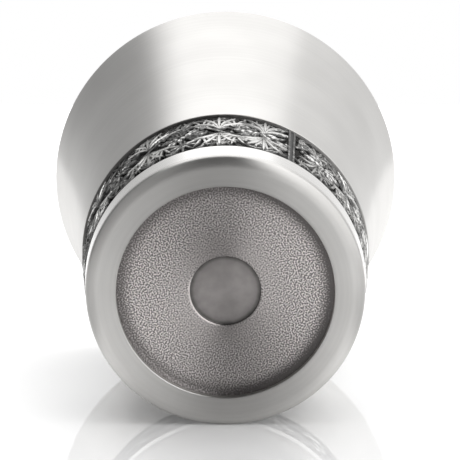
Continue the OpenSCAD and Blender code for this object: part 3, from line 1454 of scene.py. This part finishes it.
    def stem(self, side: StemSide, low: float, high: float) -> bpy.types.Object:
        """Models a cell's stretch of the running stem.

        Args:
            side: Which way round the rosette it passes.
            low: Where it starts along the cell.
            high: Where it ends.

        Returns:
            The stem as a closed mesh.
        """
        Bench.clear()
        bpy.ops.curve.primitive_nurbs_path_add()
        stem = Bench.name(bpy.context.active_object, "stem")
        path = stem.data.splines[0]
        path.points.add(self.stem_steps + 1 - len(path.points))
        path.use_endpoint_u = True
        for x, point in zip(spread(low, high, self.stem_steps), path.points):
            y = side.value * self.stem_height(x)
            place = self.on_band(x, y, 0, 1, self.stem_lift).translation
            point.co = (*place, 1)
        stem.data.bevel_depth = self.stem_radius
        stem.data.bevel_resolution = 1
        stem.data.resolution_u = 2
        stem.data.use_fill_caps = True
        bpy.ops.object.convert(target="MESH")
        return Bench.close(bpy.context.active_object, STEM_CREASE)

    @staticmethod
    def shift_inside(reach: Sequence[float], low: float, high: float) -> float:
        """Gives the shift that brings what reaches past a limit back inside it."""
        return max(low - min(reach), 0.0) - max(max(reach) - high, 0.0)

    def cell(self, side: StemSide, low: float, high: float) -> bpy.types.Object:
        """Models one cell of the relief, facing +X.

        Args:
            side: Which way round the rosette the stem passes.
            low: Nothing reaches further than this along the band, below the middle of the cell.
            high: Nothing reaches further than this above it.

        Returns:
            The joined cell.
        """
        pieces = [self.stem(side, max(low, -self.cell_width / 2), min(high, self.cell_width / 2))]
        radius = self.sizes.band(self.middle)
        lowest = self.low_margin - self.sizes.band_height / 2
        highest = self.sizes.band_height / 2 - self.high_margin
        for sprig in [*self.rosette(), *self.stem_leaves(), *self.palmettes(), *self.undergrowth()]:
            y = side.value * sprig.y * MM
            turn = side.value * sprig.turn
            x = sprig.x * MM
            place = self.on_band(x, y, turn, sprig.size, sprig.lift * MM)
            ends = [place @ Vector(corner) for corner in self.patterns[sprig.pattern].bound_box]
            x += self.shift_inside([math.atan2(end.y, end.x) * radius for end in ends], low, high)
            y += self.shift_inside([end.z - self.middle for end in ends], lowest, highest)
            place = self.on_band(x, y, turn, sprig.size, sprig.lift * MM)
            pieces.append(Bench.copy(self.patterns[sprig.pattern], place))
        return Bench.join(pieces, f"cell_{side.name.lower()}")

    def foliage_ring(self) -> bpy.types.Object:
        """Copies the cells round the band, those beside the seam trimmed to its plain ends.

        Returns:
            The joined relief.
        """
        count = self.sizes.motif_count
        free = self.cell_width
        trimmed = self.cell_width / 2 - self.sizes.seam_width / 2 - self.rib_width
        whole = {side: self.cell(side, -free, free) for side in StemSide}
        first = self.cell(StemSide.OVER, -trimmed, free)
        last = self.cell(StemSide.UNDER, -free, trimmed)
        sides = [StemSide.OVER if i % 2 == 0 else StemSide.UNDER for i in range(1, count - 1)]
        cells = [first, *(Bench.copy(whole[side], Matrix()) for side in sides), last]
        for i, cell in enumerate(cells):
            cell.rotation_euler.z = self.sizes.seam_angle + (i + 0.5) * self.cell_angle
        Bench.drop(*whole.values())
        return Bench.join(cells, "relief_foliage")

    def layer(self, outer: float, inner: float, ease: float) -> list[Point]:
        """Lists the section of a layer of the band.

        Args:
            outer: Depth of its outer face below the band's outside.
            inner: Depth of its inner face.
            ease: Rounding of its two outer edges.

        Returns:
            The corners of the section.
        """
        s = self.sizes
        low, high = s.foot_height, s.band_top - s.solder
        return [
            (s.band(low, inner), low),
            (s.band(low, outer + ease), low),
            (s.band(low + ease, outer), low + ease),
            (s.band(high - ease, outer), high - ease),
            (s.band(high, outer + ease), high),
            (s.band(high, inner), high),
        ]

    def build(self, finish: bpy.types.Material, seam_finish: bpy.types.Material) -> None:
        """Models the strip with its plain ends and its relief, and darkens the solder in its seam.

        Args:
            finish: Material of the band.
            seam_finish: Material of the solder between its ends.
        """
        s = self.sizes
        radius = s.band(self.middle)
        gap = s.seam_width / radius
        start = s.seam_angle + gap / 2
        back = s.relief_height + s.strip_thickness
        ground = self.layer(s.relief_height, back, self.ground_edge)
        strip = self.lathe.sweep("strip_ground", ground, start, math.tau - gap)
        end = self.rib_width / radius
        rib = self.layer(self.rib_depth, back, self.rib_edge)
        ends = [
            self.lathe.sweep("strip_end_a", rib, start, end),
            self.lathe.sweep("strip_end_b", rib, start - gap - end, end),
        ]
        self.make_patterns()
        foliage = self.foliage_ring()
        Bench.drop(*self.patterns.values())
        band = Bench.join([strip, foliage, *ends], "relief_band_strip")
        install(band, finish, "dark_pewter", "relief_band")
        dress(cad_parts["seam_solder"], seam_finish)


@dataclass(frozen=True)
class Surroundings:
    """The room that the metal reflects: a bright strip overhead, pale behind, dim in front."""

    name: str = "studio"
    white: Tone = (1, 1, 1, 1)
    dim: float = 0.07
    strip: float = 1.82
    strip_fall: float = 0.23
    strip_fall_span: Point = (0.05, 0.6)
    strip_left: Point = (-0.85, -0.33)
    strip_right: Point = (0.58, 0.8)
    strip_start: Point = (-0.12, 0.12)
    least_rise: float = 0.02
    right_span: Point = (-0.5, -0.13)
    low_span: Point = (-0.12, 0.15)
    back_right: float = 1.07
    back_right_start: Point = (-0.15, 0.3)
    back_right_falls: tuple[Triple, ...] = ((0.1, 0.25, 0.6), (0.2, 0.58, 0.74))
    back_right_low: float = 0.15
    back_left: float = 0.44
    back_left_start: Point = (0.0, 0.9)
    back_left_low: float = 0.5
    front_start: Point = (-0.1, 0.15)
    window: float = 1.26
    window_span: Point = (0.1, 0.36)
    window_top: float = 0.5
    window_top_span: Point = (0.2, 0.8)
    front_left: float = 0.3
    front_left_span: Point = (0.1, 0.5)

    def back(self, x: Wire, y: Wire, z: Wire) -> Wire:
        """Finds the light from behind the tumbler, where its mouth points.

        Args:
            x: Part of the direction to the right.
            y: Part of the direction down.
            z: Part of the direction away from the camera.

        Returns:
            The brightness.
        """
        right = x.ramp(*self.right_span)
        low = y.ramp(*self.low_span)
        level = self.back_right + self.back_right_low * low
        for share, near, far in self.back_right_falls:
            level = level - share * x.ramp(near, far)
        bright = z.ramp(*self.back_right_start) * right * level
        dull = self.back_left + self.back_left_low * low
        return bright + z.ramp(*self.back_left_start) * (1.0 - right) * dull

    def front(self, x: Wire, y: Wire, z: Wire) -> Wire:
        """Finds the light from the camera's side, with a window at the right.

        Args:
            x: Part of the direction to the right.
            y: Part of the direction down.
            z: Part of the direction away from the camera.

        Returns:
            The brightness.
        """
        up = 0.0 - y
        window = self.window + self.window_top * up.ramp(*self.window_top_span)
        left = self.front_left * (0.0 - x).ramp(*self.front_left_span)
        light = x.ramp(*self.window_span) * window + left
        return (0.0 - z).ramp(*self.front_start) * light

    def make(self) -> bpy.types.World:
        """Builds the world, plain white where the camera sees it.

        Returns:
            The world.
        """
        world = bpy.data.worlds.new(self.name)
        world.use_nodes = True
        shader = Shader(world.node_tree)
        x, y, z = shader.place("Generated")
        side = x / (0.0 - y).at_least(self.least_rise)
        strip = side.ramp(*self.strip_left) * (1.0 - side.ramp(*self.strip_right))
        strip = strip * z.ramp(*self.strip_start)
        wall = self.dim + self.back(x, y, z) + self.front(x, y, z)
        overhead = self.strip - self.strip_fall * side.ramp(*self.strip_fall_span)
        room = wall + strip * (overhead - wall)
        seen = shader.seen()
        feeds = {"Color": self.white, "Strength": seen + (1.0 - seen) * room}
        light = shader.node("ShaderNodeBackground", feeds=feeds)
        shader.node("ShaderNodeOutputWorld", feeds={"Surface": light.outputs[0]})
        return world


@dataclass(frozen=True)
class Studio:
    """The white floor that the tumbler lies on, the soft light, the room and the camera."""

    sizes: TumblerSizes
    camera_at: Triple = (0.0, -85.55 * MM, -290.48 * MM)
    pitch: float = 0.248
    picture_width: float = 460
    focal_length: float = 1668.3
    aim_right: float = 4.5
    sensor: float = 36
    nearest: float = 0.01
    floor_size: float = 6
    light_at: Triple = (0.1, -1.2, 0.25)
    light_towards: Triple = (0, 0, 0.045)
    light_size: float = 1.5
    light_power: float = 9

    def camera(self) -> None:
        """Places the camera below the foot, with the tumbler's -Y side at the top of the picture."""
        data = bpy.data.cameras.new("camera")
        data.lens = self.focal_length * self.sensor / self.picture_width
        data.sensor_width = self.sensor
        data.clip_start = self.nearest
        camera = bpy.data.objects.new("camera", data)
        bpy.context.collection.objects.link(camera)
        rise, level = math.sin(self.pitch), math.cos(self.pitch)
        ahead = Vector((self.aim_right / self.focal_length, rise, level)).normalized()
        right = ahead.cross(Vector((0, -level, rise))).normalized()
        axes = Matrix((right, right.cross(ahead), -ahead)).transposed().to_4x4()
        camera.matrix_world = Matrix.Translation(self.camera_at) @ axes
        bpy.context.scene.camera = camera

    def floor(self) -> None:
        """Lays the floor against the foot's edge and the lip."""
        s = self.sizes
        lip = s.lip[0]
        run = lip - s.foot_edge_centre
        offset = math.asin((s.lip_radius - s.foot_edge) / run.length)
        lean = math.atan2(run.x, run.y) + offset
        normal = Vector((0, -math.cos(lean), math.sin(lean)))
        Bench.clear()
        bpy.ops.mesh.primitive_plane_add(size=self.floor_size)
        floor = Bench.name(bpy.context.active_object, "studio_floor")
        floor.rotation_mode = "QUATERNION"
        floor.rotation_quaternion = normal.to_track_quat("Z", "Y")
        floor.location = Vector((0, lip.x, lip.y)) - normal * s.lip_radius
        dress(floor, WhiteFloor().make())

    def softbox(self) -> None:
        """Hangs a square soft light above the tumbler, which faces it and isn't reflected."""
        data = bpy.data.lights.new("top_softbox", "AREA")
        data.shape = "RECTANGLE"
        data.size = data.size_y = self.light_size
        data.energy = self.light_power
        light = bpy.data.objects.new("top_softbox", data)
        bpy.context.collection.objects.link(light)
        light.location = self.light_at
        towards = Vector(self.light_towards) - Vector(self.light_at)
        light.rotation_mode = "QUATERNION"
        light.rotation_quaternion = towards.to_track_quat("-Z", "Y")
        light.visible_glossy = False

    def build(self) -> None:
        """Sets up the whole studio."""
        self.camera()
        self.floor()
        self.softbox()
        bpy.context.scene.world = Surroundings().make()
        bpy.context.scene.view_settings.view_transform = "Standard"


def main() -> None:
    """Builds the tumbler's pieces in order, dresses them and sets up the studio."""
    logging.basicConfig(level=logging.INFO, format="%(name)s: %(message)s")
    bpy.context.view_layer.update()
    sizes = TumblerSizes()
    lathe = Lathe()
    # The wall's ledge at the band's top gets the dark tarnish, which also paints the shade in that step.
    ledge = sizes.band(sizes.band_top, sizes.seat_depth) - 0.4 * MM
    wall_finish = SatinPewter("wall_pewter", dark_below=sizes.band_top, dark_beyond=ledge)
    foot_finish = SatinPewter(polished_beyond=sizes.foot_radius - sizes.foot_edge)
    seam_finish = DullSolder("dark_solder", (0.04, 0.0395, 0.039, 1), (0.02, 0.0198, 0.0195, 1))
    CupWall(sizes, lathe).build(wall_finish.make())
    Foot(sizes, lathe).build(foot_finish.make())
    BaseDisc(sizes, lathe).build(PebbledPewter(sizes).make())
    ReliefBand(sizes, lathe).build(DarkRelief(sizes).make(), seam_finish.make())
    solder = DullSolder().make()
    for node in ("wall_solder", "band_solder"):
        dress(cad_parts[node], solder)
    Studio(sizes).build()


if __name__ == "__main__":
    main()
